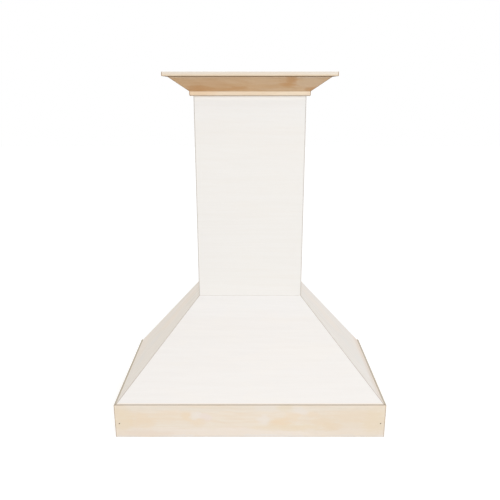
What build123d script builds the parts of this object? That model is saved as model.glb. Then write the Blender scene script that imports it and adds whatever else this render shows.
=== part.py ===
"""Wooden wall-mount range hood cover: band, tapered canopy, box chimney and crown.

Frame: origin on the floor plane under the middle of the overall box, +Z up,
the wall plane at +Y and the front at -Y. Millimetres.
"""
from build123d import *
from math import atan2, radians, sin, tan
import os

os.makedirs("parts", exist_ok=True)

# ---------------------------------------------------------------- sizes
# Band: the straight apron round the foot of the hood
hood_width = 914.4
hood_depth = 498.0
band_height = 123.5
band_thickness = 19.0
band_ledge = 6.35          # how far the band stands out past the sloped panels

# Canopy: three sloped panels with compound-mitred hips
slope_height = 285.5
panel_thickness = 12.7

# Chimney: a three-sided mitred box against the wall
chimney_width = 374.0
chimney_depth = 222.0
chimney_reach = 708.0      # from the canopy joint to the neck strip
chimney_wall = 12.7

# Crown: neck strip, angled crown board and cap
strip_projection = 12.7
strip_height = 15.0
strip_bevel = 2.6          # lower edge of the strip
crown_run = 60.8           # how far the angled face leans out
crown_rise = 44.5
crown_thickness = 12.7
cap_overhang = 16.8
cap_thickness = 14.8
cap_relief_depth = 14.0    # the under face falls away to the front over this depth
cap_relief = 1.8

# Framing stock
frame_thickness = 19.0
frame_width = 38.0
rail_width = 64.0
edge_ease = 0.8            # broken edge on every show board

# Collar that the chimney drops over
collar_rise = 38.0
collar_drop = 50.0
collar_clearance = 1.0
collar_lead = 3.0          # bevel that guides the chimney on
nailer_top = 6.0           # width of the bevelled nailer at its thin end
lift_gap = 0.3             # between the chimney and the canopy at rest
stop_gap = 12.0            # from the collar's top to the chimney's inner frame

# Cleats that hang the hood on the wall
cleat_level = 109.0        # low point of the hook above the band
cleat_height = 64.0
cleat_end_gap = 12.0
hanging_rail_height = 89.0
wall_screw_pitch = 406.4   # wall studs at sixteen inches
wall_screw_radius = 2.75
upper_screw_pitch = 203.2
rail_screw_radius = 2.75

# Battens that a ventilator insert is screwed up into
insert_setup = 12.0        # battens above the band's bottom edge
insert_batten_width = 44.0
insert_batten_height = 32.0
insert_hole_pitch = 700.0
insert_hole_radius = 1.6
corner_block_leg = 45.0
hip_block_leg = 40.0
crown_block_inset = 47.5   # outer front crown blocks in from the chimney's corners
crown_block_setback = 95.0 # side crown blocks in front of the wall

# Fasteners
screw_radius = 2.0
screw_head_radius = 4.2
screw_tip_radius = 0.4
screw_sides = 12
screw_sink_angle = 82.0
screw_play = 0.2
batten_screw_length = 55.0
batten_screw_pitch = 300.0
cleat_screw_length = 32.0
cleat_screw_pitch = 130.0
brad_radius = 1.5
brad_length = 32.0
brad_inset = 14.8          # from the end of the front board
brad_height = 53.0
brad_sink = 0.5
brad_play = 0.1

# ---------------------------------------------------------------- layout
z_band = band_height
z_joint = z_band + slope_height
z_chimney = z_joint + lift_gap
z_strip = z_joint + chimney_reach
z_crown = z_strip + strip_height
z_cap = z_crown + crown_rise
z_top = z_cap + cap_thickness

wall_y = hood_depth / 2
band_y = -hood_depth / 2
band_x = hood_width / 2
band_inner_x = band_x - band_thickness
band_inner_y = band_y + band_thickness
foot_x = band_x - band_ledge
foot_y = band_y + band_ledge
chimney_x = chimney_width / 2
chimney_y = wall_y - chimney_depth
chimney_inner_x = chimney_x - chimney_wall
chimney_inner_y = chimney_y + chimney_wall
collar_x = chimney_inner_x - collar_clearance
collar_y = chimney_inner_y + collar_clearance

side_slope = atan2(slope_height, foot_x - chimney_x)
front_slope = atan2(slope_height, chimney_y - foot_y)
side_cut = panel_thickness / sin(side_slope)      # width of a panel's level cut
front_cut = panel_thickness / sin(front_slope)
stile_cut = frame_thickness / sin(side_slope)

crown_slope = atan2(crown_rise, crown_run)
crown_cut = crown_thickness / sin(crown_slope)
cap_projection = strip_projection + crown_run + cap_overhang

z_frame = z_joint - collar_drop                   # top of the canopy's inner frame
z_battens = insert_setup + insert_batten_height
z_ledger = z_band - frame_width
z_stop = z_joint + collar_rise + stop_gap         # foot of the chimney's inner frame
z_cleat = z_band + cleat_level
z_hook = z_cleat + frame_thickness                # high point of the hook


def inside_x(z):
    """Inner face of the side panels at a height."""
    return foot_x - side_cut - (z - z_band) / tan(side_slope)


def inside_y(z):
    """Inner face of the front panel at a height."""
    return foot_y + front_cut + (z - z_band) / tan(front_slope)


def save(piece, name):
    piece.part.label = name
    export_step(piece.part, f"parts/{name}.step")


# ---------------------------------------------------------------- planes
def mitre_plane(corner_x, corner_y, side):
    """Upright 45 degree plane through an outer corner; its normal faces the front piece."""
    return Plane(origin=(side * corner_x, corner_y, 0), x_dir=(0, 0, 1), z_dir=(-side, -1, 0))


def front_plane(corner_y):
    """Section plane across the front: local x runs out from the face, local y up."""
    return Plane(origin=(0, corner_y, 0), x_dir=(0, -1, 0), z_dir=(-1, 0, 0))


def side_plane(corner_x, side):
    """The same section plane for a side, lying on the wall."""
    return Plane(origin=(side * corner_x, wall_y, 0), x_dir=(side, 0, 0), z_dir=(0, -side, 0))


def hip_plane(side):
    """Bisecting plane of a hip; its normal faces the front panel."""
    up = Vector(side * (chimney_x - foot_x), chimney_y - foot_y, slope_height)
    inward = Vector(-side * side_cut, front_cut, 0)
    return Plane(origin=(side * foot_x, foot_y, z_band), x_dir=up, z_dir=up.cross(inward) * side)


# ---------------------------------------------------------------- sections
def board_section(plane, back, face, low, high):
    """A board's section with both show edges eased."""
    with BuildSketch(plane) as section:
        with BuildLine():
            Polyline(
                (back, low),
                (face - edge_ease, low),
                (face, low + edge_ease),
                (face, high - edge_ease),
                (face - edge_ease, high),
                (back, high),
                close=True,
            )
        make_face()
    return section.sketch


def band_section(plane):
    return board_section(plane, -band_thickness, 0, 0, z_band)


def chimney_section(plane):
    return board_section(plane, -chimney_wall, 0, z_chimney, z_cap)


def strip_section(plane):
    """Neck strip: square against the crown board, bevelled below."""
    with BuildSketch(plane) as section:
        with BuildLine():
            Polyline(
                (0, z_strip),
                (strip_projection - strip_bevel, z_strip),
                (strip_projection, z_strip + strip_bevel),
                (strip_projection, z_crown),
                (0, z_crown),
                close=True,
            )
        make_face()
    return section.sketch


def crown_section(plane):
    """Angled crown board: level cuts on the strip and under the cap, plumb cut at the wall."""
    top = strip_projection + crown_run
    with BuildSketch(plane) as section:
        with BuildLine():
            Polyline(
                (strip_projection, z_crown),
                (top, z_cap),
                (top - crown_cut, z_cap),
                (strip_projection - crown_cut, z_crown),
                close=True,
            )
        make_face()
        with Locations((-crown_cut / 2, (z_crown + z_cap) / 2)):
            Rectangle(crown_cut, 2 * crown_rise, mode=Mode.SUBTRACT)
    return section.sketch


def cap_section(plane):
    """Flat cap with eased front edges, its under face relieved towards the front."""
    with BuildSketch(plane) as section:
        with BuildLine():
            Polyline(
                (-chimney_wall, z_cap),
                (cap_projection - cap_relief_depth, z_cap),
                (cap_projection - edge_ease, z_cap + cap_relief),
                (cap_projection, z_cap + cap_relief + edge_ease),
                (cap_projection, z_top - edge_ease),
                (cap_projection - edge_ease, z_top),
                (-chimney_wall, z_top),
                close=True,
            )
        make_face()
    return section.sketch


# ---------------------------------------------------------------- mitred runs
def ease_corner(run, x, y, low, high):
    """Break the sharp outer arris of a mitred corner."""
    middle = Vector(x, y, (low + high) / 2)
    upright = run.edges().filter_by(Axis.Z).sort_by_distance(middle)[0]
    chamfer(upright, length=edge_ease)


def front_run(section, corner_x, corner_y, reach, eased=None):
    """A board or moulding across the front, mitred at both ends."""
    with BuildPart() as run:
        extrude(section(front_plane(corner_y)), amount=corner_x + reach, both=True)
        for side in (-1, 1):
            split(bisect_by=mitre_plane(corner_x, corner_y, side), keep=Keep.TOP)
        if eased:
            for side in (-1, 1):
                ease_corner(run, side * corner_x, corner_y, *eased)
    return run


def side_run(section, corner_x, corner_y, reach, side, eased=None):
    """The same board or moulding along one side, from the wall to the mitre."""
    length = wall_y - corner_y + reach
    with BuildPart() as run:
        extrude(section(side_plane(corner_x, side)), amount=side * length)
        split(bisect_by=mitre_plane(corner_x, corner_y, side), keep=Keep.BOTTOM)
        if eased:
            ease_corner(run, side * corner_x, corner_y, *eased)
    return run


def beam(x_low, x_high, y_low, y_high, z_low, z_high):
    """A squared piece of framing between six faces."""
    with BuildPart() as piece:
        with BuildSketch(Plane.XY.offset(z_low)):
            with Locations(((x_low + x_high) / 2, (y_low + y_high) / 2)):
                Rectangle(x_high - x_low, y_high - y_low)
        extrude(amount=z_high - z_low)
    return piece


def side_beam(side, x_low, x_high, y_low, y_high, z_low, z_high):
    """A squared piece given for the right side, placed on either side."""
    ends = sorted((side * x_low, side * x_high))
    return beam(*ends, y_low, y_high, z_low, z_high)


# ---------------------------------------------------------------- screws and holes
def screw_plane(x, y, z, heading):
    """Plane of a screw's head face; its normal points back out, against the heading."""
    across = (0, 0, 1) if heading[2] == 0 else (1, 0, 0)
    return Plane(origin=(x, y, z), x_dir=across, z_dir=[-step for step in heading])


def screws(planes, length):
    """Flat-head wood screws as separate solids, each head face on its plane."""
    sink = (screw_head_radius - screw_radius) / tan(radians(screw_sink_angle / 2))
    stations = (
        (0, screw_head_radius),
        (sink, screw_radius),
        (length - 2 * screw_radius, screw_radius),
        (length, screw_tip_radius),
    )
    with BuildPart() as group:
        for plane in planes:
            rings = []
            for depth, radius in stations:
                with BuildSketch(plane.offset(-depth)) as ring:
                    RegularPolygon(radius, screw_sides)
                rings.append(ring.sketch)
            loft(rings, ruled=True)
    return group


def cut_screw_holes(planes, length):
    """Countersunk clearance holes for those screws, cut from the part in hand."""
    for plane in planes:
        with Locations(plane):
            CounterSinkHole(
                radius=screw_radius + screw_play,
                counter_sink_radius=screw_head_radius + screw_play,
                depth=length + screw_play,
                counter_sink_angle=screw_sink_angle,
            )


def cut_round_holes(planes, radius, depth):
    for plane in planes:
        with Locations(plane):
            Hole(radius, depth=depth)


# ---------------------------------------------------------------- band
batten_level = insert_setup + insert_batten_height / 2
batten_front_y = band_inner_y + insert_batten_width
rear_rail_y = wall_y - frame_thickness
batten_rear_y = rear_rail_y - insert_batten_width
batten_side_x = band_inner_x - insert_batten_width
batten_rows = (-batten_screw_pitch, 0, batten_screw_pitch)
side_rows = (-batten_screw_pitch / 3, batten_screw_pitch / 3)

front_batten_screws = [screw_plane(x, batten_front_y, batten_level, (0, -1, 0)) for x in batten_rows]
rear_batten_screws = [screw_plane(x, batten_rear_y, batten_level, (0, 1, 0)) for x in batten_rows]
side_batten_screws = {
    side: [screw_plane(side * batten_side_x, y, batten_level, (side, 0, 0)) for y in side_rows]
    for side in (-1, 1)
}
brads = [
    Plane(origin=(side * (band_x - brad_inset), band_y, brad_height), x_dir=(1, 0, 0), z_dir=(0, -1, 0))
    for side in (-1, 1)
]
brad_hole_depth = brad_sink + brad_length + brad_play

# Front board, pinned through its mitres
with BuildPart() as band_front_board:
    add(front_run(band_section, band_x, band_y, edge_ease, (0, z_band)).part)
    cut_screw_holes(front_batten_screws, batten_screw_length)
    cut_round_holes(brads, brad_radius + brad_play, brad_hole_depth)
save(band_front_board, "band_front_board")


def band_side_board(side):
    with BuildPart() as board:
        add(side_run(band_section, band_x, band_y, edge_ease, side, (0, z_band)).part)
        cut_screw_holes(side_batten_screws[side], batten_screw_length)
        cut_round_holes(brads, brad_radius + brad_play, brad_hole_depth)
    return board


save(band_side_board(-1), "band_left_board")
save(band_side_board(1), "band_right_board")

# Brads across the mitres, heads just under the surface
with BuildPart() as corner_brads:
    for head in brads:
        with BuildSketch(head.offset(-brad_sink)) as shank:
            Circle(brad_radius)
        extrude(shank.sketch, amount=-brad_length)
save(corner_brads, "corner_brads")

# Rear rail between the side boards, with holes for two wall screws
rail_level = z_battens + (rail_width - insert_batten_height) / 2
rear_rail_holes = [
    screw_plane(side * wall_screw_pitch / 2, rear_rail_y, rail_level, (0, 1, 0)) for side in (-1, 1)
]
with BuildPart() as band_rear_rail:
    z_rear_rail = insert_setup + rail_width
    add(beam(-band_inner_x, band_inner_x, rear_rail_y, wall_y, insert_setup, z_rear_rail).part)
    cut_screw_holes(rear_batten_screws, batten_screw_length)
    cut_round_holes(rear_rail_holes, rail_screw_radius, frame_thickness)
save(band_rear_rail, "band_rear_rail")


# ---------------------------------------------------------------- insert battens
def batten_hole_planes(y):
    """Under faces of the pilot holes that take the insert's flange screws."""
    return [screw_plane(side * insert_hole_pitch / 2, y, insert_setup, (0, 0, 1)) for side in (-1, 1)]


def cross_batten(y_low, y_high, screw_planes):
    insert_holes = batten_hole_planes((y_low + y_high) / 2)
    with BuildPart() as batten:
        add(beam(-band_inner_x, band_inner_x, y_low, y_high, insert_setup, z_battens).part)
        cut_screw_holes(screw_planes, batten_screw_length)
        cut_round_holes(insert_holes, insert_hole_radius, insert_batten_height)
    return batten


def side_batten(side):
    ends = (batten_front_y, batten_rear_y)
    with BuildPart() as batten:
        add(side_beam(side, batten_side_x, band_inner_x, *ends, insert_setup, z_battens).part)
        cut_screw_holes(side_batten_screws[side], batten_screw_length)
    return batten


save(cross_batten(band_inner_y, batten_front_y, front_batten_screws), "insert_batten_front")
save(cross_batten(batten_rear_y, rear_rail_y, rear_batten_screws), "insert_batten_rear")
save(side_batten(-1), "insert_batten_left")
save(side_batten(1), "insert_batten_right")
batten_screw_planes = front_batten_screws + rear_batten_screws
batten_screw_planes += side_batten_screws[-1] + side_batten_screws[1]
save(screws(batten_screw_planes, batten_screw_length), "insert_batten_screws")

# ---------------------------------------------------------------- ledgers and corner blocks
# Ledgers carry the feet of the sloped panels, flush with the top of the band
ledger_front_y = band_inner_y + frame_thickness
ledger_side_x = band_inner_x - frame_thickness
save(
    beam(-band_inner_x, band_inner_x, band_inner_y, ledger_front_y, z_ledger, z_band),
    "canopy_ledger_front",
)
save(
    side_beam(-1, ledger_side_x, band_inner_x, ledger_front_y, wall_y, z_ledger, z_band),
    "canopy_ledger_left",
)
save(
    side_beam(1, ledger_side_x, band_inner_x, ledger_front_y, wall_y, z_ledger, z_band),
    "canopy_ledger_right",
)


def corner_triangle(side, x, y, leg, z):
    """Right triangle filling an inside corner."""
    with BuildSketch(Plane.XY.offset(z)) as corner:
        with BuildLine():
            Polyline((side * x, y), (side * (x - leg), y), (side * x, y + leg), close=True)
        make_face()
    return corner.sketch


def band_corner_block(side):
    """Upright glue block behind a mitre, between the insert batten and the ledger."""
    with BuildPart() as block:
        foot = corner_triangle(side, band_inner_x, band_inner_y, corner_block_leg, z_battens)
        extrude(foot, amount=z_ledger - z_battens, dir=(0, 0, 1))
    return block


save(band_corner_block(-1), "band_corner_block_left")
save(band_corner_block(1), "band_corner_block_right")


# ---------------------------------------------------------------- canopy panels
def cut_collar_seat():
    """Plumb cut that lets a panel's head lie against the collar."""
    with BuildSketch(Plane.XY.offset(z_frame)) as seat:
        with Locations((0, (collar_y + wall_y) / 2)):
            Rectangle(2 * collar_x, wall_y - collar_y)
    extrude(seat.sketch, amount=2 * collar_drop, mode=Mode.SUBTRACT)


def ease_hip(panel, side):
    """Break the outer arris along a hip."""
    middle = Vector(side * (foot_x + chimney_x) / 2, (foot_y + chimney_y) / 2, (z_band + z_joint) / 2)
    chamfer(panel.edges().sort_by_distance(middle)[0], length=edge_ease)


with BuildPart() as canopy_front_panel:
    with BuildSketch(Plane.YZ) as front_outline:
        with BuildLine():
            Polyline(
                (foot_y, z_band),
                (foot_y + front_cut, z_band),
                (chimney_y + front_cut, z_joint),
                (chimney_y, z_joint),
                close=True,
            )
        make_face()
    extrude(front_outline.sketch, amount=foot_x, both=True)
    for hand in (-1, 1):
        split(bisect_by=hip_plane(hand), keep=Keep.TOP)
    cut_collar_seat()
    for hand in (-1, 1):
        ease_hip(canopy_front_panel, hand)
save(canopy_front_panel, "canopy_front_panel")


def canopy_side_panel(side):
    with BuildPart() as panel:
        with BuildSketch(Plane.XZ.offset(-wall_y)) as outline:
            with BuildLine():
                Polyline(
                    (side * foot_x, z_band),
                    (side * (foot_x - side_cut), z_band),
                    (side * (chimney_x - side_cut), z_joint),
                    (side * chimney_x, z_joint),
                    close=True,
                )
            make_face()
        extrude(outline.sketch, amount=wall_y - foot_y, dir=(0, -1, 0))
        split(bisect_by=hip_plane(side), keep=Keep.BOTTOM)
        cut_collar_seat()
        ease_hip(panel, side)
    return panel


save(canopy_side_panel(-1), "canopy_left_panel")
save(canopy_side_panel(1), "canopy_right_panel")


def hip_block(side):
    """Three-cornered cleat glued into the hip, leaning with it."""
    lean = Vector(side * (chimney_x - foot_x), chimney_y - foot_y, slope_height)
    with BuildPart() as block:
        foot = corner_triangle(side, inside_x(z_band), inside_y(z_band), hip_block_leg, z_band)
        extrude(foot, amount=lean.length * (z_frame - z_band) / slope_height, dir=lean.normalized())
    return block


save(hip_block(-1), "hip_block_left")
save(hip_block(1), "hip_block_right")


def rear_stile(side):
    """Stiffener inside the rear edge of a side panel, cut level at both ends."""
    with BuildPart() as stile:
        with BuildSketch(Plane.XZ.offset(-wall_y)) as outline:
            with BuildLine():
                Polyline(
                    (side * inside_x(z_band), z_band),
                    (side * (inside_x(z_band) - stile_cut), z_band),
                    (side * (inside_x(z_frame) - stile_cut), z_frame),
                    (side * inside_x(z_frame), z_frame),
                    close=True,
                )
            make_face()
        extrude(outline.sketch, amount=frame_width, dir=(0, -1, 0))
    return stile


save(rear_stile(-1), "canopy_rear_stile_left")
save(rear_stile(1), "canopy_rear_stile_right")

# ---------------------------------------------------------------- hanging cleats
# Hanging rail between the stiles; the hooked cleat is screwed to its back
rail_face_y = wall_y - frame_thickness
rail_top = z_hook + hanging_rail_height
with BuildPart() as canopy_hanging_rail:
    with BuildSketch(Plane.XZ.offset(-rail_face_y)) as rail_outline:
        with BuildLine():
            Polyline(
                (-inside_x(z_hook) + stile_cut, z_hook),
                (inside_x(z_hook) - stile_cut, z_hook),
                (inside_x(rail_top) - stile_cut, rail_top),
                (-inside_x(rail_top) + stile_cut, rail_top),
                close=True,
            )
        make_face()
    extrude(rail_outline.sketch, amount=frame_thickness, dir=(0, -1, 0))
    cleat_middle = z_hook + (z_cleat + cleat_height - z_hook) / 2
    cleat_screw_planes = [
        screw_plane(step * cleat_screw_pitch, wall_y, cleat_middle, (0, -1, 0))
        for step in (-1.5, -0.5, 0.5, 1.5)
    ]
    cut_screw_holes(cleat_screw_planes, cleat_screw_length)
save(canopy_hanging_rail, "canopy_hanging_rail")

cleat_half = inside_x(z_cleat + cleat_height) - stile_cut - cleat_end_gap
with BuildPart() as hanging_cleat:
    with BuildSketch(Plane.YZ) as hook:
        with BuildLine():
            Polyline(
                (wall_y, z_cleat),
                (rail_face_y, z_hook),
                (rail_face_y, z_cleat + cleat_height),
                (wall_y, z_cleat + cleat_height),
                close=True,
            )
        make_face()
    extrude(hook.sketch, amount=cleat_half, both=True)
    cut_screw_holes(cleat_screw_planes, cleat_screw_length)
save(hanging_cleat, "hanging_cleat")
save(screws(cleat_screw_planes, cleat_screw_length), "hanging_cleat_screws")

# Wall cleat: the same stock turned over, screwed to the wall first
wall_cleat_level = (z_cleat + z_hook - cleat_height) / 2
wall_cleat_holes = [
    screw_plane(side * wall_screw_pitch / 2, rail_face_y, wall_cleat_level, (0, 1, 0)) for side in (-1, 1)
]
with BuildPart() as wall_cleat:
    with BuildSketch(Plane.YZ) as hook:
        with BuildLine():
            Polyline(
                (wall_y, z_cleat),
                (rail_face_y, z_hook),
                (rail_face_y, z_hook - cleat_height),
                (wall_y, z_hook - cleat_height),
                close=True,
            )
        make_face()
    extrude(hook.sketch, amount=cleat_half, both=True)
    cut_round_holes(wall_cleat_holes, wall_screw_radius, frame_thickness)
save(wall_cleat, "wall_cleat")

# ---------------------------------------------------------------- collar
collar_inner_x = collar_x - frame_thickness
collar_inner_y = collar_y + frame_thickness
z_collar = z_joint + collar_rise

with BuildPart() as collar_front_rail:
    add(beam(-collar_x, collar_x, collar_y, collar_inner_y, z_frame, z_collar).part)
    lead_edge = collar_front_rail.edges().sort_by_distance(Vector(0, collar_y, z_collar))[0]
    chamfer(lead_edge, length=collar_lead)
save(collar_front_rail, "collar_front_rail")


def collar_side_rail(side):
    with BuildPart() as rail:
        add(side_beam(side, collar_inner_x, collar_x, collar_inner_y, wall_y, z_frame, z_collar).part)
        lead = Vector(side * collar_x, (collar_inner_y + wall_y) / 2, z_collar)
        chamfer(rail.edges().sort_by_distance(lead)[0], length=collar_lead)
    return rail


save(collar_side_rail(-1), "collar_left_rail")
save(collar_side_rail(1), "collar_right_rail")
save(
    beam(-collar_inner_x, collar_inner_x, wall_y - frame_thickness, wall_y, z_frame, z_collar),
    "collar_rear_rail",
)

# Bevelled nailers between the collar and the heads of the panels
nailer_front_top = z_band + (collar_y - nailer_top - front_cut - foot_y) * tan(front_slope)
nailer_side_top = z_band + (foot_x - side_cut - collar_x - nailer_top) * tan(side_slope)
with BuildPart() as collar_nailer_front:
    with BuildSketch(Plane.YZ) as bevel:
        with BuildLine():
            Polyline(
                (collar_y, z_frame),
                (inside_y(z_frame), z_frame),
                (collar_y - nailer_top, nailer_front_top),
                (collar_y, nailer_front_top),
                close=True,
            )
        make_face()
    extrude(bevel.sketch, amount=collar_x, both=True)
save(collar_nailer_front, "collar_nailer_front")


def collar_side_nailer(side):
    with BuildPart() as nailer:
        with BuildSketch(Plane.XZ.offset(-wall_y)) as bevel:
            with BuildLine():
                Polyline(
                    (side * collar_x, z_frame),
                    (side * inside_x(z_frame), z_frame),
                    (side * (collar_x + nailer_top), nailer_side_top),
                    (side * collar_x, nailer_side_top),
                    close=True,
                )
            make_face()
        extrude(bevel.sketch, amount=wall_y - collar_y, dir=(0, -1, 0))
    return nailer


save(collar_side_nailer(-1), "collar_nailer_left")
save(collar_side_nailer(1), "collar_nailer_right")

# ---------------------------------------------------------------- chimney
chimney_ends = (z_chimney, z_cap)
save(
    front_run(chimney_section, chimney_x, chimney_y, edge_ease, chimney_ends),
    "chimney_front_panel",
)
save(
    side_run(chimney_section, chimney_x, chimney_y, edge_ease, -1, chimney_ends),
    "chimney_left_panel",
)
save(
    side_run(chimney_section, chimney_x, chimney_y, edge_ease, 1, chimney_ends),
    "chimney_right_panel",
)

z_top_rails = z_cap - frame_width
z_hanging = z_cap - rail_width
cleat_back_y = chimney_inner_y + frame_thickness
stile_x = chimney_inner_x - frame_thickness

for name, side in (("left", -1), ("right", 1)):
    # Corner cleat in the mitre, rear stile against the wall, rail under the cap
    save(
        side_beam(side, stile_x, chimney_inner_x, chimney_inner_y, cleat_back_y, z_stop, z_top_rails),
        f"chimney_corner_cleat_{name}",
    )
    save(
        side_beam(side, stile_x, chimney_inner_x, wall_y - frame_width, wall_y, z_stop, z_hanging),
        f"chimney_rear_stile_{name}",
    )
    save(
        side_beam(side, stile_x, chimney_inner_x, cleat_back_y, rail_face_y, z_top_rails, z_cap),
        f"chimney_top_rail_{name}",
    )
save(
    beam(-chimney_inner_x, chimney_inner_x, chimney_inner_y, cleat_back_y, z_top_rails, z_cap),
    "chimney_top_rail_front",
)
save(
    beam(-stile_x, stile_x, rail_face_y, wall_y, z_stop, z_stop + rail_width),
    "chimney_bottom_rail_rear",
)

# Upper hanging rail, with holes for two wall screws
hanging_level = z_cap - rail_width / 2
hanging_holes = [
    screw_plane(side * upper_screw_pitch / 2, rail_face_y, hanging_level, (0, 1, 0)) for side in (-1, 1)
]
with BuildPart() as chimney_hanging_rail:
    add(beam(-chimney_inner_x, chimney_inner_x, rail_face_y, wall_y, z_hanging, z_cap).part)
    cut_round_holes(hanging_holes, rail_screw_radius, frame_thickness)
save(chimney_hanging_rail, "chimney_hanging_rail")

# ---------------------------------------------------------------- crown
crown_runs = {
    "neck_strip": strip_section,
    "crown_board": crown_section,
    "crown_cap": cap_section,
}
for name, section in crown_runs.items():
    save(front_run(section, chimney_x, chimney_y, cap_projection), f"{name}_front")
    save(side_run(section, chimney_x, chimney_y, cap_projection, -1), f"{name}_left")
    save(side_run(section, chimney_x, chimney_y, cap_projection, 1), f"{name}_right")


def block_section(plane):
    """Three-cornered nailing block between chimney, crown board and cap."""
    reach = strip_projection + crown_run - crown_cut
    foot = z_cap - reach * tan(crown_slope)
    with BuildSketch(plane) as section:
        with BuildLine():
            Polyline((0, foot), (reach, z_cap), (0, z_cap), close=True)
        make_face()
        with Locations((strip_projection / 2, z_crown - strip_height)):
            Rectangle(strip_projection, 2 * strip_height, mode=Mode.SUBTRACT)
    return section.sketch


def crown_block(plane):
    with BuildPart() as block:
        extrude(block_section(plane), amount=frame_thickness / 2, both=True)
    return block


outer_block = chimney_x - crown_block_inset
front_blocks = {"left": outer_block, "centre": 0, "right": -outer_block}
for name, shift in front_blocks.items():
    save(crown_block(front_plane(chimney_y).offset(shift)), f"crown_block_front_{name}")
for name, side in (("left", -1), ("right", 1)):
    seat = side_plane(chimney_x, side).offset(side * crown_block_setback)
    save(crown_block(seat), f"crown_block_{name}")
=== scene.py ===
import math

import bpy
from mathutils import Matrix, Vector


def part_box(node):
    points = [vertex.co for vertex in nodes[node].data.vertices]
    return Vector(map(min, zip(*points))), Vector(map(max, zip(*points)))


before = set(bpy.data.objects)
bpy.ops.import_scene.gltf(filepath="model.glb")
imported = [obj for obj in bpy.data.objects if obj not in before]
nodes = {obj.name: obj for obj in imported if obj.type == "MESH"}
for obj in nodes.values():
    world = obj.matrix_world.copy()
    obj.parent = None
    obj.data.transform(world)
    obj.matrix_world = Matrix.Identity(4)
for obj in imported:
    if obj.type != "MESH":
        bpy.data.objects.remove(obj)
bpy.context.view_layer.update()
scene = bpy.context.scene


# ------------------------------------------------------------------ sizes, metres, from the frame
def lowest(node):
    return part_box(node)[0]


def highest(node):
    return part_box(node)[1]


BAND_X = highest("band_right_board").x
BAND_Y = lowest("band_front_board").y
BAND_TOP = highest("band_front_board").z
FOOT_X = highest("canopy_right_panel").x
FOOT_Y = lowest("canopy_front_panel").y
JOINT_Z = highest("canopy_front_panel").z
CHIMNEY_X = highest("chimney_right_panel").x
CHIMNEY_Y = lowest("chimney_front_panel").y
PLYWOOD = CHIMNEY_X - lowest("chimney_right_panel").x
STRIP_X = highest("neck_strip_right").x
STRIP_Y, STRIP_Z = lowest("neck_strip_front").yz
CROWN_Y, CROWN_Z = lowest("crown_board_front").yz
CAP_Z = lowest("crown_cap_front").z
TOP_Z = highest("crown_cap_front").z
BRAD_RADIUS = (highest("corner_brads").z - lowest("corner_brads").z) / 2
BRAD_X = highest("corner_brads").x - BRAD_RADIUS
BRAD_Z = highest("corner_brads").z - BRAD_RADIUS

# Each hand of the hood with its sign along x, and the axes
SIDES = (("left", -1), ("right", 1))
X, Y, Z = Vector((1, 0, 0)), Vector((0, 1, 0)), Vector((0, 0, 1))

# Slopes above the level, and the canopy's hip: up along it, and in through the panels' thickness
SIDE_SLOPE = math.atan2(JOINT_Z - BAND_TOP, FOOT_X - CHIMNEY_X)
FRONT_SLOPE = math.atan2(JOINT_Z - BAND_TOP, CHIMNEY_Y - FOOT_Y)
CROWN_SLOPE = math.atan2(CAP_Z - CROWN_Z, STRIP_Y - CROWN_Y)
HIP_UP = Vector((CHIMNEY_X - FOOT_X, CHIMNEY_Y - FOOT_Y, JOINT_Z - BAND_TOP))
HIP_IN = Vector((-PLYWOOD / math.sin(SIDE_SLOPE), PLYWOOD / math.sin(FRONT_SLOPE), 0))

# The photograph's camera, fitted to the hood's outline: metres, radians below level, millimetres
CAMERA_PLACE, CAMERA_DIP = (0.0, -1.854122, 1.147474), 0.290980
FOCAL_LENGTH, SENSOR_WIDTH = 39.349, 36.0
NEAREST_SEEN, FARTHEST_SEEN = 0.05, 60.0

# Noise: waves per metre along the grain, across the face and out of it
BEND_SCALE, SWAY_SCALE = (2.3, 5.0, 5.0), (9.0, 26.0, 26.0)
STREAK_SCALE, FIBRE_SCALE, CLOUD_SCALE = (2.6, 82.0, 82.0), (18.0, 820.0, 820.0), (5.0, 15.0, 15.0)
PORE_SCALE, FLECK_SCALE = (85.0, 2100.0, 2100.0), (38.0, 300.0, 300.0)
MARK_PUSH_SCALE, MARK_SWAY_SCALE, MARK_EDGE_SCALE = (14.0, 40.0, 40.0), (7.0, 21.0, 9.0), (34.0, 90.0, 90.0)
PLY_SCALE, SCUFF_SCALE = (30.0, 30.0, 200.0), (60.0, 260.0, 260.0)
METAL_SCALE = (900.0, 900.0, 900.0)

# How far a seed shifts the noise, how far the fibres and the pith wander, in metres, and the pith's
# slope across the board and out of it
SEED_STEP = (7.13, 3.37, 5.71)
BEND_REACH, SWAY_REACH, PITH_REACH = 0.060, 0.006, 0.030
PITH_ACROSS, PITH_OUT = 0.045, 0.060

# How far noise pushes a soft mark along and across the board, in metres, and how ragged its edge is
MARK_PUSH, MARK_SWAY, MARK_RAGGED = 0.050, 0.035, 3.2

# Plies in a panel, the unevenness of their edges, the gloss of bare wood and the depth of dents in metal
PLIES, PLY_WOBBLE = 7.0, 0.0004
WOOD_SHEEN, METAL_DENTS = 0.32, 0.00005


# ------------------------------------------------------------------ camera
def place_camera():
    lens = bpy.data.cameras.new("photo_camera")
    lens.lens = FOCAL_LENGTH
    lens.sensor_width = SENSOR_WIDTH
    lens.clip_start = NEAREST_SEEN
    lens.clip_end = FARTHEST_SEEN
    camera = bpy.data.objects.new("photo_camera", lens)
    scene.collection.objects.link(camera)
    camera.location = CAMERA_PLACE
    camera.rotation_euler = (math.pi / 2 - CAMERA_DIP, 0.0, 0.0)
    scene.camera = camera


# ------------------------------------------------------------------ shader helpers
def srgb(r, g, b):
    """Scene-linear colour of an 8-bit display one."""

    def linear(v):
        v /= 255
        return v / 12.92 if v <= 0.04045 else ((v + 0.055) / 1.055) ** 2.4

    return (linear(r), linear(g), linear(b), 1.0)


def grey(value):
    """Scene-linear grey."""
    return (value, value, value, 1.0)


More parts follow.
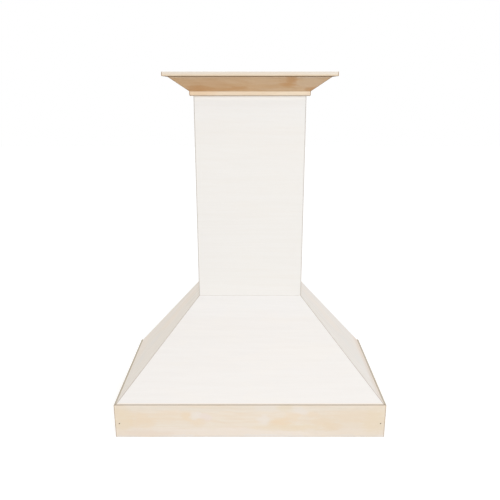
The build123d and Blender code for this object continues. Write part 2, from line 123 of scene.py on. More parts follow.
class Net:
    """Adds nodes to a tree. A plain value goes on the socket; an output is linked to it."""

    def __init__(self, tree):
        self.tree = tree

    def put(self, socket, value):
        if isinstance(value, bpy.types.NodeSocket):
            self.tree.links.new(value, socket)
        elif value is not None:
            socket.default_value = value

    def add(self, kind, **settings):
        node = self.tree.nodes.new(kind)
        count = len(self.tree.nodes)
        node.location = (200 * (count % 9), -200 * (count // 9))
        for key, value in settings.items():
            setattr(node, key, value)
        return node

    def math(self, operation, a, b=None, c=None, clamp=False):
        node = self.add("ShaderNodeMath", operation=operation, use_clamp=clamp)
        for socket, value in zip(node.inputs, (a, b, c)):
            self.put(socket, value)
        return node.outputs[0]

    def length(self, u, v):
        """How far a place is from the middle of its plane."""
        return self.math("SQRT", self.math("MULTIPLY_ADD", u, u, self.math("MULTIPLY", v, v)))

    def vector(self, operation, a, b=None):
        node = self.add("ShaderNodeVectorMath", operation=operation)
        self.put(node.inputs[0], a)
        self.put(node.inputs[1], b)
        return node.outputs["Value" if operation == "DOT_PRODUCT" else "Vector"]

    def split(self, vector):
        node = self.add("ShaderNodeSeparateXYZ")
        self.put(node.inputs[0], vector)
        return node.outputs[0], node.outputs[1], node.outputs[2]

    def join(self, x, y, z):
        node = self.add("ShaderNodeCombineXYZ")
        for socket, value in zip(node.inputs, (x, y, z)):
            self.put(socket, value)
        return node.outputs[0]

    def noise(self, vector, scale, detail=2.0, roughness=0.5, distortion=0.0):
        """Noise whose scale differs along, across and through the board."""
        node = self.add("ShaderNodeTexNoise", noise_dimensions="3D")
        self.put(node.inputs["Vector"], self.vector("MULTIPLY", vector, scale))
        self.put(node.inputs["Scale"], 1.0)
        self.put(node.inputs["Detail"], detail)
        self.put(node.inputs["Roughness"], roughness)
        self.put(node.inputs["Distortion"], distortion)
        return node.outputs[0]

    def wave(self, vector, scale, detail=2.0, roughness=0.5):
        """Noise that swings about zero."""
        return self.math("SUBTRACT", self.noise(vector, scale, detail, roughness), 0.5)

    def remap(self, value, low, high, out_low=0.0, out_high=1.0, **settings):
        node = self.add("ShaderNodeMapRange", **settings)
        for socket, given in zip(node.inputs, (value, low, high, out_low, out_high)):
            self.put(socket, given)
        return node.outputs[0]

    def smooth(self, value, low, high, out_low=0.0, out_high=1.0):
        """A soft step. Where low is above high, the step goes down."""
        return self.remap(value, low, high, out_low, out_high, interpolation_type="SMOOTHSTEP")

    def mix(self, factor, a, b, blend="MIX"):
        """From colour a to colour b. A mix node's colours have the numbered sockets used here."""
        node = self.add("ShaderNodeMix", data_type="RGBA", blend_type=blend)
        self.put(node.inputs[0], factor)
        self.put(node.inputs[6], a)
        self.put(node.inputs[7], b)
        return node.outputs[2]

    def tint(self, factor, colour, shade):
        """The colour multiplied by a shade, as far as the factor says."""
        return self.mix(factor, colour, shade, "MULTIPLY")


def blank_material(name):
    """A material with a bare shader, and what adds nodes to it."""
    material = bpy.data.materials.new(name)
    material.use_nodes = True
    material.node_tree.nodes.clear()
    net = Net(material.node_tree)
    shader = net.add("ShaderNodeBsdfPrincipled")
    net.put(net.add("ShaderNodeOutputMaterial").inputs["Surface"], shader.outputs[0])
    return material, net, shader


def add_bump(net, shader, height, strength, distance):
    bump = net.add("ShaderNodeBump")
    bump.inputs["Strength"].default_value = strength
    bump.inputs["Distance"].default_value = distance
    net.put(bump.inputs["Height"], height)
    net.put(shader.inputs["Normal"], bump.outputs[0])


def seen_itself(net):
    """1 for what the camera sees, straight or in gloss or glass, and 0 for what lights the object."""
    rays = net.add("ShaderNodeLightPath").outputs
    mirrored = net.math("MAXIMUM", rays["Is Glossy Ray"], rays["Is Transmission Ray"])
    return net.math("MAXIMUM", rays["Is Camera Ray"], mirrored)


# ------------------------------------------------------------------ timber
def timber_group():
    """Grain of a sawn board: x runs along the grain, y across the face, z out of it."""
    group = bpy.data.node_groups.new("timber", "ShaderNodeTree")
    face = group.interface
    face.new_socket("Vector", in_out="INPUT", socket_type="NodeSocketVector")
    for name in ("Seed", "Pith Y", "Pith Z", "Ring Spacing", "Wander"):
        face.new_socket(name, in_out="INPUT", socket_type="NodeSocketFloat")
    for name in ("Streaks", "Fibres", "Cloud", "Rings", "Pores", "Flecks"):
        face.new_socket(name, in_out="OUTPUT", socket_type="NodeSocketFloat")
    net = Net(group)
    given = net.add("NodeGroupInput").outputs
    result = net.add("NodeGroupOutput").inputs
    drift = net.vector("SCALE", SEED_STEP)
    net.put(drift.node.inputs["Scale"], given["Seed"])
    place = net.vector("ADD", given["Vector"], drift)

    # The fibres wander a little as they run along the board
    bend = net.math("MULTIPLY", net.wave(place, BEND_SCALE, detail=2.0), given["Wander"])
    sway = net.wave(place, SWAY_SCALE, detail=1.0)
    shift = net.math("MULTIPLY_ADD", bend, BEND_REACH, net.math("MULTIPLY", sway, SWAY_REACH))
    bent = net.vector("ADD", place, net.join(0.0, shift, shift))

    net.put(result["Streaks"], net.noise(bent, STREAK_SCALE, detail=4.0, roughness=0.62))
    net.put(result["Fibres"], net.noise(bent, FIBRE_SCALE, detail=2.0, roughness=0.6))
    net.put(result["Cloud"], net.noise(place, CLOUD_SCALE, detail=5.0, roughness=0.66, distortion=0.9))
    net.put(result["Pores"], net.smooth(net.noise(bent, PORE_SCALE, detail=1.0), 0.62, 0.78))
    net.put(result["Flecks"], net.smooth(net.noise(bent, FLECK_SCALE, detail=1.0), 0.66, 0.80))

    # Growth rings round a pith that lies behind the face and runs at a slight angle to it
    x, y, z = net.split(given["Vector"])
    across = net.math("MULTIPLY_ADD", x, PITH_ACROSS, net.math("SUBTRACT", y, given["Pith Y"]))
    across = net.math("ADD", across, shift)
    out = net.math("MULTIPLY_ADD", x, PITH_OUT, net.math("SUBTRACT", z, given["Pith Z"]))
    out = net.math("MULTIPLY_ADD", bend, PITH_REACH, out)
    radius = net.length(across, out)
    ring = net.math("FRACT", net.math("DIVIDE", radius, given["Ring Spacing"]))
    late = net.math("MULTIPLY", net.smooth(ring, 0.25, 0.90), net.smooth(ring, 1.0, 0.90))
    net.put(result["Rings"], late)
    return group


TIMBER = timber_group()
ARRIS, END_GRAIN = srgb(236, 226, 210), srgb(214, 190, 158)
PLY_PALE, PLY_BROWN = srgb(231, 212, 180), srgb(196, 163, 120)
PLY_GLUE, PLY_FIBRE = srgb(128, 98, 66), srgb(180, 146, 104)
METAL_DULL = srgb(205, 200, 190)


class Board:
    """A board's own axes: along the grain, across the face and out of it, from a point on its face."""

    def __init__(self, along, out, face, seed, pith, spacing):
        self.along = Vector(along).normalized()
        self.out = Vector(out).normalized()
        self.across = self.out.cross(self.along)
        self.face = Vector(face)
        self.seed = seed
        self.pith = pith
        self.spacing = spacing

    def place(self, net, position):
        """The position on the board's own axes."""
        turn = Matrix((self.along, self.across, self.out))
        node = net.add("ShaderNodeMapping", vector_type="POINT")
        net.put(node.inputs["Vector"], position)
        node.inputs["Rotation"].default_value = turn.to_euler("XYZ")
        node.inputs["Location"].default_value = -(turn @ self.face)
        return node.outputs[0]

    def grain(self, net, local, wander):
        """The layers of the board's timber, by name."""
        node = net.add("ShaderNodeGroup")
        node.node_tree = TIMBER
        net.put(node.inputs["Vector"], local)
        node.inputs["Seed"].default_value = self.seed
        node.inputs["Pith Y"].default_value = self.pith[0]
        node.inputs["Pith Z"].default_value = self.pith[1]
        node.inputs["Ring Spacing"].default_value = self.spacing
        node.inputs["Wander"].default_value = wander
        return node.outputs


def grain_tone(net, layers, grain, ring):
    """From 0, a board's light tone, to 1, its dark one: streaks, growth rings and fibres."""
    streaks = net.remap(layers["Streaks"], 0.28, 0.72, -0.5, 0.5)
    rings = net.math("SUBTRACT", layers["Rings"], 0.3)
    fibres = net.math("SUBTRACT", layers["Fibres"], 0.5)
    tone = net.math("MULTIPLY_ADD", rings, ring, net.math("MULTIPLY", streaks, 0.75))
    tone = net.math("MULTIPLY_ADD", fibres, 0.8, tone)
    return net.math("MULTIPLY_ADD", tone, grain, 0.5, clamp=True)


def soft_marks(net, local, colour, marks):
    """Marks with ragged edges: (x, y, half length, half height, colour, strength)."""
    x, y, z = net.split(local)
    push = net.wave(local, MARK_PUSH_SCALE, detail=3.0, roughness=0.6)
    sway = net.wave(local, MARK_SWAY_SCALE, detail=2.0, roughness=0.6)
    edge = net.wave(local, MARK_EDGE_SCALE, detail=4.0, roughness=0.65)
    x = net.math("MULTIPLY_ADD", push, MARK_PUSH, x)
    y = net.math("MULTIPLY_ADD", sway, MARK_SWAY, y)
    ragged = net.math("MULTIPLY", edge, MARK_RAGGED)
    for mark_x, mark_y, half_x, half_y, shade, strength in marks:
        u = net.math("MULTIPLY", net.math("SUBTRACT", x, mark_x), 1.0 / half_x)
        v = net.math("MULTIPLY", net.math("SUBTRACT", y, mark_y), 1.0 / half_y)
        far = net.math("MULTIPLY_ADD", u, u, net.math("MULTIPLY_ADD", v, v, ragged))
        colour = net.mix(net.smooth(far, 1.9, 0.0, 0.0, strength), colour, shade)
    return colour


def nail_rims(net, local, colour, holes):
    """Dark rims of nail holes: (x, y, radius, colour)."""
    x, y, z = net.split(local)
    for hole_x, hole_y, radius, shade in holes:
        far = net.length(net.math("SUBTRACT", x, hole_x), net.math("SUBTRACT", y, hole_y))
        colour = net.mix(net.smooth(far, radius, radius * 0.7), colour, shade)
    return colour


def ply_edges(net, local, out, fibres, colour, thickness):
    """Plies, alternately pale and brown, and their glue lines, where a panel is cut across."""
    x, y, z = net.split(local)
    wobble = net.math("MULTIPLY", net.wave(local, PLY_SCALE, detail=2.0), PLY_WOBBLE)
    depth = net.math("MULTIPLY", net.math("ADD", z, wobble), PLIES / thickness)
    crossed = net.smooth(net.math("PINGPONG", depth, 1.0), 0.40, 0.60)
    layer = net.mix(crossed, PLY_PALE, PLY_BROWN)
    glue = net.smooth(net.math("PINGPONG", net.math("ADD", depth, 0.5), 0.5), 0.07, 0.0)
    layer = net.mix(net.math("MULTIPLY", glue, 0.55), layer, PLY_GLUE)
    layer = net.mix(net.math("MULTIPLY", fibres, 0.35), layer, PLY_FIBRE)
    return net.mix(net.smooth(out, 0.55, 0.35), colour, layer)


def end_grain(net, along, colour):
    """Darker wood where a solid board is cut across."""
    ends = net.math("MULTIPLY", net.smooth(along, 0.75, 0.95), 0.75)
    return net.tint(ends, colour, END_GRAIN)


def worn_arrises(net, local, out):
    """How far each place is burnished by sanding and handling: eased arrises only, and unevenly."""
    arris = net.math("MULTIPLY", net.smooth(out, 0.50, 0.66), net.smooth(out, 0.93, 0.80))
    scuff = net.noise(local, SCUFF_SCALE, detail=3.0, roughness=0.6)
    return net.math("MULTIPLY", arris, net.remap(scuff, 0.35, 0.65, 0.35, 0.95))


def near_plane(net, position, normal, through, reach):
    """1 near a plane, 0 beyond its reach, on both hands of the hood at once."""
    x, y, z = net.split(position)
    folded = net.join(net.math("ABSOLUTE", x), y, z)
    normal = Vector(normal).normalized()
    along = net.vector("DOT_PRODUCT", folded, tuple(normal))
    distance = net.math("ABSOLUTE", net.math("SUBTRACT", along, normal.dot(Vector(through))))
    return net.smooth(distance, reach, reach * 0.35)


def wood(name, board, light, dark, warm, grain=1.0, figure=0.4, ring=0.3, wander=1.0, seams=(), marks=(),
         holes=(), plies=None, roughness=(0.56, 0.72), relief=0.00012):
    """A sanded, unfinished board.

    light and dark are the ends of the grain's tone, and warm is the colour of its figure. seams are
    planes along which its colour changes (normal, point, reach, shade), such as a glue line, or the
    painted shade and painted light by a ledge, a strip or a joint. marks are its own soft marks,
    holes its nail holes, and plies its thickness if it is plywood.
    """
    material, net, shader = blank_material(name)
    coordinates = net.add("ShaderNodeTexCoord").outputs
    position, facing = coordinates["Object"], coordinates["Normal"]
    local = board.place(net, position)
    layers = board.grain(net, local, wander)
    along = net.math("ABSOLUTE", net.vector("DOT_PRODUCT", facing, tuple(board.along)))
    out = net.math("ABSOLUTE", net.vector("DOT_PRODUCT", facing, tuple(board.out)))

    tone = grain_tone(net, layers, grain, ring)
    colour = net.mix(tone, light, dark)
    cloud = net.math("MULTIPLY", net.smooth(layers["Cloud"], 0.44, 0.70), figure)
    colour = net.mix(cloud, colour, warm)
    if marks:
        colour = soft_marks(net, local, colour, marks)
    if holes:
        colour = nail_rims(net, local, colour, holes)
    colour = net.tint(net.math("MULTIPLY", layers["Pores"], 0.16 * grain), colour, warm)
    colour = net.mix(net.math("MULTIPLY", layers["Flecks"], 0.10 * grain), colour, dark)
    if plies:
        colour = ply_edges(net, local, out, layers["Fibres"], colour, plies)
    else:
        colour = end_grain(net, along, colour)
    worn = worn_arrises(net, local, out)
    colour = net.tint(worn, colour, ARRIS)
    for normal, through, reach, shade in seams:
        colour = net.tint(near_plane(net, position, normal, through, reach), colour, shade)
    net.put(shader.inputs["Base Color"], colour)

    rough = net.math("SUBTRACT", layers["Fibres"], 0.5)
    rough = net.math("MULTIPLY_ADD", rough, 0.5, net.math("MULTIPLY", tone, 0.5))
    rough = net.math("MULTIPLY_ADD", worn, -0.5, rough)
    net.put(shader.inputs["Roughness"], net.remap(rough, 0.0, 0.5, *roughness))
    shader.inputs["Specular IOR Level"].default_value = WOOD_SHEEN
    height = net.math("MULTIPLY_ADD", layers["Fibres"], 0.7, net.math("MULTIPLY", layers["Streaks"], 0.5))
    height = net.math("MULTIPLY_ADD", layers["Pores"], -0.5, height)
    add_bump(net, shader, height, strength=0.6, distance=relief)
    return material


def steel(name, colour, roughness, metallic=0.9):
    """Wire or screw metal, slightly mottled."""
    material, net, shader = blank_material(name)
    position = net.add("ShaderNodeTexCoord").outputs["Object"]
    mottle = net.noise(position, METAL_SCALE, detail=3.0, roughness=0.6)
    net.put(shader.inputs["Base Color"], net.tint(net.smooth(mottle, 0.35, 0.65), colour, METAL_DULL))
    net.put(shader.inputs["Roughness"], net.remap(mottle, 0.3, 0.7, roughness - 0.07, roughness + 0.10))
    shader.inputs["Metallic"].default_value = metallic
    add_bump(net, shader, mottle, strength=0.3, distance=METAL_DENTS)
    return material


dressed = set()


def dress(node, material):
    """Gives a node its material, and notes that it has one."""
    piece = nodes[node]
    if not piece.material_slots:
        piece.data.materials.append(material)
    for held in piece.material_slots:
        held.material = material
    dressed.add(node)


# ------------------------------------------------------------------ seams
def level(height, reach, shade):
    """A seam that runs level round the hood."""
    return (Z, (0, 0, height), reach, shade)


def mitre(corner_x, corner_y, reach, shade):
    """A seam on the upright planes of the mitres at the front corners."""
    return ((1, 1, 0), (corner_x, corner_y, 0), reach, shade)


# ------------------------------------------------------------------ panels
PANEL_WARM = srgb(241, 233, 222)

# The grain of the chimney's panels is measured from this place on each face
CHIMNEY_MIDDLE = Vector((0, 0.14, 0.76))

HIP_LINE = (tuple(HIP_UP.cross(HIP_IN)), (FOOT_X, FOOT_Y, BAND_TOP), 0.0020, srgb(204, 199, 194))
CHIMNEY_CORNER = mitre(CHIMNEY_X, CHIMNEY_Y, 0.0022, srgb(205, 204, 202))

# Painted light: paler below the neck strip and at the joint, against the shade that they cast on the panels
NECK_EDGE_PAINTED_LIGHT = level(STRIP_Z, 0.0180, (1.07, 1.06, 1.05, 1.0))
NECK_PAINTED_LIGHT = level(STRIP_Z, 0.1200, (1.02, 1.035, 1.055, 1.0))
CHIMNEY_FOOT_PAINTED_LIGHT = level(JOINT_Z, 0.0028, (1.10, 1.13, 1.16, 1.0))
CANOPY_HEAD_PAINTED_LIGHT = level(JOINT_Z, 0.0030, (1.06, 1.06, 1.07, 1.0))
CANOPY_JOINT_PAINTED_LIGHT = level(JOINT_Z, 0.0750, (1.010, 1.020, 1.030, 1.0))

# Warmer at the foot of the canopy
CANOPY_FOOT = level(BAND_TOP, 0.0030, srgb(254, 248, 238))
FOOT_WARM = level(BAND_TOP, 0.0300, (0.960, 0.910, 0.875, 1.0))

# Painted light and shade in the tones: the sides are lighter than the fronts, against the shade on them,
# and the canopy's upturned front is darker than the chimney's, against the extra light on it
CHIMNEY_FRONT = dict(
    light=srgb(243, 241, 238), dark=srgb(237, 233, 227), warm=PANEL_WARM,
    grain=0.40, figure=0.10, ring=0.12, wander=0.3)
CHIMNEY_SIDE = dict(
    light=srgb(247, 242, 236), dark=srgb(239, 232, 223), warm=PANEL_WARM,
    grain=0.5, figure=0.15, ring=0.15, wander=0.4)
CANOPY_FRONT = dict(
    light=srgb(237, 234, 231), dark=srgb(230, 226, 222), warm=PANEL_WARM,
    grain=0.45, figure=0.12, ring=0.12, wander=0.3)
CANOPY_SIDE = dict(warm=PANEL_WARM, grain=0.75, figure=0.25, ring=0.2, wander=0.5)
# Painted shade: the left side panel's tones and streaks are darker than the right's, which adds to the key
# light's own difference between the sides
CANOPY_TONES_SHADED_BY_HAND = {
    "left": dict(light=srgb(249, 242, 234), dark=srgb(233, 224, 211)),
    "right": dict(light=srgb(251, 247, 243), dark=srgb(239, 232, 223)),
}
FLUSH_SHADED_BY_HAND = {"left": srgb(247, 233, 218), "right": srgb(250, 239, 228)}
ASH_SHADED_BY_HAND = {"left": srgb(237, 232, 225), "right": srgb(242, 239, 234)}
CANOPY_SEAMS = {"left": [HIP_LINE], "right": [HIP_LINE, FOOT_WARM]}


def canopy_marks(hand, side):
    """Soft streaks of a side panel: x up the slope from its foot, y towards the wall."""
    streaks = (
        (0.300, 0.150, 0.070, 0.045, FLUSH_SHADED_BY_HAND[hand], 0.40),
        (0.205, 0.100, 0.060, 0.045, FLUSH_SHADED_BY_HAND[hand], 0.45),
        (0.020, 0.150, 0.040, 0.100, FLUSH_SHADED_BY_HAND[hand], 0.45),
        (0.130, 0.050, 0.040, 0.035, ASH_SHADED_BY_HAND[hand], 0.45),
        (0.065, -0.020, 0.025, 0.035, ASH_SHADED_BY_HAND[hand], 0.55),
    )
    return [(x, -side * y, *rest) for x, y, *rest in streaks]


def dress_chimney():
    board = Board(X, -Y, (0, CHIMNEY_Y, CHIMNEY_MIDDLE.z), 1.0, pith=(0.10, -0.16), spacing=0.009)
    dress("chimney_front_panel", wood(
        "panel_chimney_front", board, **CHIMNEY_FRONT, plies=PLYWOOD,
        seams=[CHIMNEY_CORNER, CHIMNEY_FOOT_PAINTED_LIGHT, NECK_PAINTED_LIGHT, NECK_EDGE_PAINTED_LIGHT]))
    for seed, (hand, side) in enumerate(SIDES, start=3):
        middle = CHIMNEY_MIDDLE + side * CHIMNEY_X * X
        board = Board(Y, side * X, middle, seed, pith=(0.09, -0.14), spacing=0.009)
        dress(f"chimney_{hand}_panel", wood(
            f"panel_chimney_{hand}", board, **CHIMNEY_SIDE, plies=PLYWOOD, seams=[CHIMNEY_CORNER]))


def side_rise(side):
    """Up the slope of a side panel."""
    return Vector((-side * math.cos(SIDE_SLOPE), 0, math.sin(SIDE_SLOPE)))


def dress_canopy():
    lean = (0, -math.sin(FRONT_SLOPE), math.cos(FRONT_SLOPE))
    board = Board(X, lean, (0, FOOT_Y, BAND_TOP), 2.0, pith=(0.12, -0.20), spacing=0.010)
    dress("canopy_front_panel", wood(
        "panel_canopy_front", board, **CANOPY_FRONT, plies=PLYWOOD,
        seams=[HIP_LINE, CANOPY_JOINT_PAINTED_LIGHT, CANOPY_HEAD_PAINTED_LIGHT, CANOPY_FOOT]))
    for seed, (hand, side) in enumerate(SIDES, start=5):
        lean = (side * math.sin(SIDE_SLOPE), 0, math.cos(SIDE_SLOPE))
        foot = (side * FOOT_X, 0, BAND_TOP)
        board = Board(side_rise(side), lean, foot, seed, pith=(0.08, -0.15), spacing=0.009)
        dress(f"canopy_{hand}_panel", wood(
            f"panel_canopy_{hand}", board, **CANOPY_SIDE, **CANOPY_TONES_SHADED_BY_HAND[hand], plies=PLYWOOD,
            seams=CANOPY_SEAMS[hand], marks=canopy_marks(hand, side)))


# ------------------------------------------------------------------ band
BAND_WOOD = dict(
    light=srgb(243, 233, 219), dark=srgb(239, 223, 203), warm=srgb(240, 222, 199),
    ring=0.2, wander=0.8)
BAND_CORNER = mitre(BAND_X, BAND_Y, 0.0022, srgb(196, 184, 168))
# Painted shade along the ledge on top of the band, in the crease where the canopy's foot meets it
LEDGE_FRONT_PAINTED_SHADE = level(BAND_TOP, 0.0016, srgb(210, 210, 212))
LEDGE_SIDE_PAINTED_SHADE = level(BAND_TOP, 0.0030, srgb(202, 203, 200))
RIM_RADIUS, NAIL = 0.0023, srgb(84, 62, 42)

PALE, BLUSH, STRIPE = srgb(242, 232, 221), srgb(241, 227, 217), srgb(245, 234, 223)
FOOT, HAZE, RIGHT_THIRD_PAINTED_SHADE = srgb(241, 233, 225), srgb(231, 224, 213), srgb(234, 219, 198)
HONEY, ORANGE, BROWN = srgb(239, 221, 192), srgb(241, 220, 192), srgb(239, 223, 206)
BAND_MARKS = [
    (0.000, 0.021, 0.560, 0.016, STRIPE, 0.75),
    (0.000, -0.002, 0.900, 0.010, FOOT, 1.0),
    (-0.428, 0.068, 0.032, 0.050, HONEY, 0.6),
    (-0.366, 0.066, 0.046, 0.034, ORANGE, 0.55),
    (-0.275, 0.080, 0.060, 0.022, ORANGE, 0.35),
    (-0.212, 0.080, 0.020, 0.018, ORANGE, 0.7),
    (-0.176, 0.058, 0.028, 0.012, ORANGE, 0.5),
    (-0.183, 0.083, 0.020, 0.017, PALE, 1.0),
    (-0.150, 0.075, 0.022, 0.017, BLUSH, 0.9),
    (-0.350, 0.016, 0.090, 0.012, BROWN, 0.7),
    (0.052, 0.112, 0.036, 0.016, PALE, 0.6),
    (0.045, 0.066, 0.021, 0.017, PALE, 0.8),
    (0.118, 0.114, 0.026, 0.014, HONEY, 0.6),
    (0.167, 0.102, 0.024, 0.018, PALE, 1.0),
    (0.100, 0.057, 0.034, 0.015, ORANGE, 0.9),
    (0.212, 0.088, 0.022, 0.013, ORANGE, 0.4),
    (0.244, 0.060, 0.036, 0.018, ORANGE, 0.6),
    (0.275, 0.040, 0.034, 0.017, ORANGE, 0.8),
    (0.345, 0.080, 0.070, 0.026, ORANGE, 0.4),
    (0.420, 0.064, 0.036, 0.048, HONEY, 0.65),
    # Painted shade over the right third, against the extra light that the key throws there
    (0.340, 0.060, 0.150, 0.070, RIGHT_THIRD_PAINTED_SHADE, 0.40),
    (0.000, 0.110, 0.420, 0.012, HAZE, 0.32),
    (0.130, 0.036, 0.110, 0.013, HONEY, 0.55),
    (0.142, 0.074, 0.024, 0.022, ORANGE, 0.45),
]
BAND_SIDE_MARKS = [
    (0.10, 0.070, 0.090, 0.022, ORANGE, 0.7),
    (-0.08, 0.045, 0.050, 0.016, PALE, 0.6),
]


def dress_band():
    board = Board(X, -Y, (0, BAND_Y, 0), 11.0, pith=(0.03, -0.10), spacing=0.011)
    rims = [(side * BRAD_X, BRAD_Z, RIM_RADIUS, NAIL) for hand, side in SIDES]
    dress("band_front_board", wood(
        "band_front", board, **BAND_WOOD, grain=1.0, figure=0.4,
        seams=[BAND_CORNER, LEDGE_FRONT_PAINTED_SHADE], holes=rims, marks=BAND_MARKS))
    for seed, (hand, side) in enumerate(SIDES, start=12):
        board = Board(Y, side * X, (side * BAND_X, 0, 0), seed, pith=(0.03, -0.09), spacing=0.010)
        dress(f"band_{hand}_board", wood(
            f"band_{hand}", board, **BAND_WOOD, grain=0.8, figure=0.5,
            seams=[BAND_CORNER, LEDGE_SIDE_PAINTED_SHADE], marks=BAND_SIDE_MARKS))


# ------------------------------------------------------------------ crown
CROWN_WOOD = dict(
    light=srgb(224, 191, 152), dark=srgb(210, 171, 128), warm=srgb(208, 165, 119),
    grain=1.15, figure=0.5, ring=0.25)
STRIP_PALE, STRIP_WARM = srgb(245, 229, 205), srgb(239, 213, 181)
STRIP_WOOD = dict(
    light=STRIP_PALE, dark=srgb(236, 214, 185), warm=STRIP_WARM,
    grain=0.8, figure=0.4, ring=0.2)
CAP_WOOD = dict(
    light=srgb(233, 226, 215), dark=srgb(225, 212, 196), warm=srgb(228, 211, 190),
    grain=0.8, figure=0.4, ring=0.2)

# The bevel's painted shade is centred this far above the foot of the strip
BEVEL_MIDDLE = 0.0016

CROWN_CORNER = mitre(CHIMNEY_X, CHIMNEY_Y, 0.0022, srgb(190, 168, 142))
# Painted light on the head of the crown board, against the shade of the cap above it
CROWN_HEAD_PAINTED_LIGHT = level(CAP_Z, 0.0045, (1.05, 1.15, 1.33, 1.0))
CAP_WARM = level(CAP_Z, 0.0110, srgb(255, 246, 231))
# Painted shade under the cap's nose, where it overhangs the crown board
CAP_NOSE_PAINTED_SHADE = level(CAP_Z, 0.0035, srgb(144, 117, 81))
# Painted shade on the strip's bevel, which faces down
STRIP_BEVEL_PAINTED_SHADE = level(STRIP_Z + BEVEL_MIDDLE, 0.0027, srgb(226, 228, 236))
NECK_LINE = level(CROWN_Z, 0.0014, srgb(218, 212, 204))

CROWN_PALE, UMBER = srgb(223, 194, 161), srgb(207, 160, 112)
CROWN_MARKS = [
    (-0.110, 0.056, 0.090, 0.022, CROWN_PALE, 0.4),
    (0.046, 0.052, 0.060, 0.020, CROWN_PALE, 0.35),
    (0.194, 0.046, 0.050, 0.046, CROWN_PALE, 0.9),
    (-0.125, 0.032, 0.060, 0.036, UMBER, 0.35),
    (-0.165, 0.016, 0.046, 0.016, UMBER, 0.95),
    (-0.091, 0.014, 0.060, 0.010, UMBER, 0.4),
    (-0.039, 0.016, 0.028, 0.010, UMBER, 0.6),
    (0.133, 0.064, 0.016, 0.022, UMBER, 0.9),
    (0.122, 0.037, 0.032, 0.010, UMBER, 0.9),
    (0.203, 0.011, 0.026, 0.012, UMBER, 0.8),
    (0.095, 0.006, 0.070, 0.010, CROWN_PALE, 0.5),
]
STRIP_MARKS = [
    (-0.180, -0.006, 0.060, 0.016, STRIP_WARM, 0.8),
    (0.150, -0.006, 0.080, 0.014, STRIP_PALE, 0.7),
]


def dress_crown_face(face, along, out, wall, strip, seed, crown_marks=(), strip_marks=()):
    """The crown board, the strip below it and the cap on it, on one face of the chimney.

    wall and strip are x and y of a point on the chimney's face and on the strip's.
    """
    lean = math.sin(CROWN_SLOPE) * out - math.cos(CROWN_SLOPE) * Z
    board = Board(along, lean, (*strip, CROWN_Z), seed, pith=(0.02, -0.07), spacing=0.010)
    dress(f"crown_board_{face}", wood(
        f"crown_{face}", board, **CROWN_WOOD, seams=[CROWN_CORNER, CROWN_HEAD_PAINTED_LIGHT], marks=crown_marks))
    board = Board(along, out, (*strip, CROWN_Z), seed + 3, pith=(0.01, -0.05), spacing=0.008)
    dress(f"neck_strip_{face}", wood(
        f"strip_{face}", board, **STRIP_WOOD,
        seams=[CROWN_CORNER, STRIP_BEVEL_PAINTED_SHADE, NECK_LINE], marks=strip_marks))
    board = Board(along, Z, (*wall, TOP_Z), seed + 6, pith=(0.04, -0.06), spacing=0.009)
    dress(f"crown_cap_{face}", wood(
        f"cap_{face}", board, **CAP_WOOD, seams=[CROWN_CORNER, CAP_WARM, CAP_NOSE_PAINTED_SHADE]))


def dress_crown():
    dress_crown_face("front", X, -Y, (0, CHIMNEY_Y), (0, STRIP_Y), 21, CROWN_MARKS, STRIP_MARKS)
    for seed, (hand, side) in enumerate(SIDES, start=22):
        dress_crown_face(hand, Y, side * X, (side * CHIMNEY_X, 0), (side * STRIP_X, 0), seed)


# ------------------------------------------------------------------ fasteners and hidden framing
SCREW_METAL, BRAD_METAL = srgb(196, 190, 176), srgb(54, 44, 35)
FRAMING_WOOD = dict(
    light=srgb(233, 208, 168), dark=srgb(206, 166, 114), warm=srgb(222, 182, 128),
    grain=0.9, figure=0.35, ring=1.0, roughness=(0.62, 0.80), relief=0.00018)
FRAMING_RINGS, FIRST_FRAMING_SEED = 0.0052, 40.0


def dress_fasteners():
    screw_metal = steel("screw_metal", SCREW_METAL, roughness=0.36)
    dress("insert_batten_screws", screw_metal)
    dress("hanging_cleat_screws", screw_metal)
    dress("corner_brads", steel("brad_metal", BRAD_METAL, roughness=0.60, metallic=0.3))


def framing_axes(name, size):
    """Along a framing piece and out of its wider face; hip blocks and rear stiles lean with the canopy."""
    side = -1 if name.endswith("left") else 1
    if name.startswith("hip_block"):
        along = Vector((side * HIP_UP.x, HIP_UP.y, HIP_UP.z)).normalized()
        return along, Vector((side, -1, 0)).cross(along).cross(along)
    if name.startswith("canopy_rear_stile"):
        return side_rise(side), Y
    by_length = sorted((X, Y, Z), key=size.dot)
    return by_length[-1], by_length[0]


def dress_framing():
    """Every node that isn't dressed yet, each in its own piece of the same timber."""
    for number, name in enumerate(sorted(set(nodes) - dressed)):
        low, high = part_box(name)
        along, out = framing_axes(name, high - low)
        pith = (0.012 * math.sin(number * 2.4), -0.030 - 0.012 * math.cos(number * 1.7))
        board = Board(along, out, (low + high) / 2, FIRST_FRAMING_SEED + number, pith, FRAMING_RINGS)
        dress(name, wood(f"framing_{number:02d}", board, **FRAMING_WOOD))


# ------------------------------------------------------------------ floor, world and light
# The floor lies just under the hood's foot and reaches this far each way
FLOOR_REACH, FLOOR_Z = 9, -0.0004
FLOOR_UNSEEN, FLOOR_SEEN, FLOOR_GLOW = grey(0.45), grey(0.86), 0.30
WHITE, SKY_ON_OBJECT, SKY_SEEN = grey(1.0), 0.88, 1.0
KEY_PLACE, KEY_AIM = Vector((0.42, -3.35, 1.55)), Vector((0.0, 0.0, 0.62))
KEY_WIDTH, KEY_POWER = 1.8, 41.3


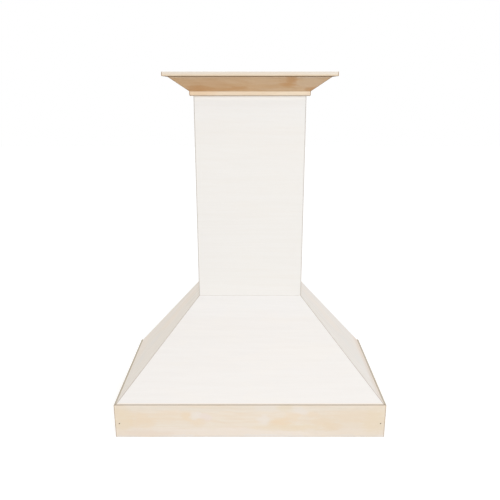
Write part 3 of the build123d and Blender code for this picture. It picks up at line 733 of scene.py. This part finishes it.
def build_floor():
    """A pale floor that is white where the camera sees it, and keeps the hood's shadow."""
    corners = [(x * FLOOR_REACH, y * FLOOR_REACH, FLOOR_Z) for x, y in ((-1, -1), (1, -1), (1, 1), (-1, 1))]
    mesh = bpy.data.meshes.new("floor")
    mesh.from_pydata(corners, [], [(0, 1, 2, 3)])
    floor = bpy.data.objects.new("floor", mesh)
    scene.collection.objects.link(floor)
    material = bpy.data.materials.new("floor_paint")
    material.use_nodes = True
    material.node_tree.nodes.clear()
    net = Net(material.node_tree)
    seen = seen_itself(net)
    paint = net.add("ShaderNodeBsdfDiffuse")
    net.put(paint.inputs["Color"], net.mix(seen, FLOOR_UNSEEN, FLOOR_SEEN))
    glow = net.add("ShaderNodeEmission")
    glow.inputs["Color"].default_value = WHITE
    net.put(glow.inputs["Strength"], net.math("MULTIPLY", seen, FLOOR_GLOW))
    both = net.add("ShaderNodeAddShader")
    net.put(both.inputs[0], paint.outputs[0])
    net.put(both.inputs[1], glow.outputs[0])
    net.put(net.add("ShaderNodeOutputMaterial").inputs["Surface"], both.outputs[0])
    mesh.materials.append(material)


def build_world():
    """Even light on the object, and white where the camera sees the world."""
    world = bpy.data.worlds.new("studio")
    scene.world = world
    world.use_nodes = True
    world.node_tree.nodes.clear()
    net = Net(world.node_tree)
    blend = net.add("ShaderNodeMixShader")
    net.put(blend.inputs[0], seen_itself(net))
    for socket, strength in zip(blend.inputs[1:], (SKY_ON_OBJECT, SKY_SEEN)):
        sky = net.add("ShaderNodeBackground")
        sky.inputs["Color"].default_value = WHITE
        sky.inputs["Strength"].default_value = strength
        net.put(socket, sky.outputs[0])
    net.put(net.add("ShaderNodeOutputWorld").inputs["Surface"], blend.outputs[0])


def build_key_light():
    """A large soft light from the front, a little to the right."""
    lamp = bpy.data.lights.new("key", "AREA")
    lamp.shape = "SQUARE"
    lamp.size = KEY_WIDTH
    lamp.energy = KEY_POWER
    holder = bpy.data.objects.new("key", lamp)
    scene.collection.objects.link(holder)
    holder.location = KEY_PLACE
    holder.rotation_euler = (KEY_AIM - KEY_PLACE).to_track_quat("-Z", "Y").to_euler()


# ------------------------------------------------------------------ the scene
place_camera()
dress_chimney()
dress_canopy()
dress_band()
dress_crown()
dress_fasteners()
dress_framing()
build_floor()
build_world()
build_key_light()
scene.view_settings.view_transform = "Standard"
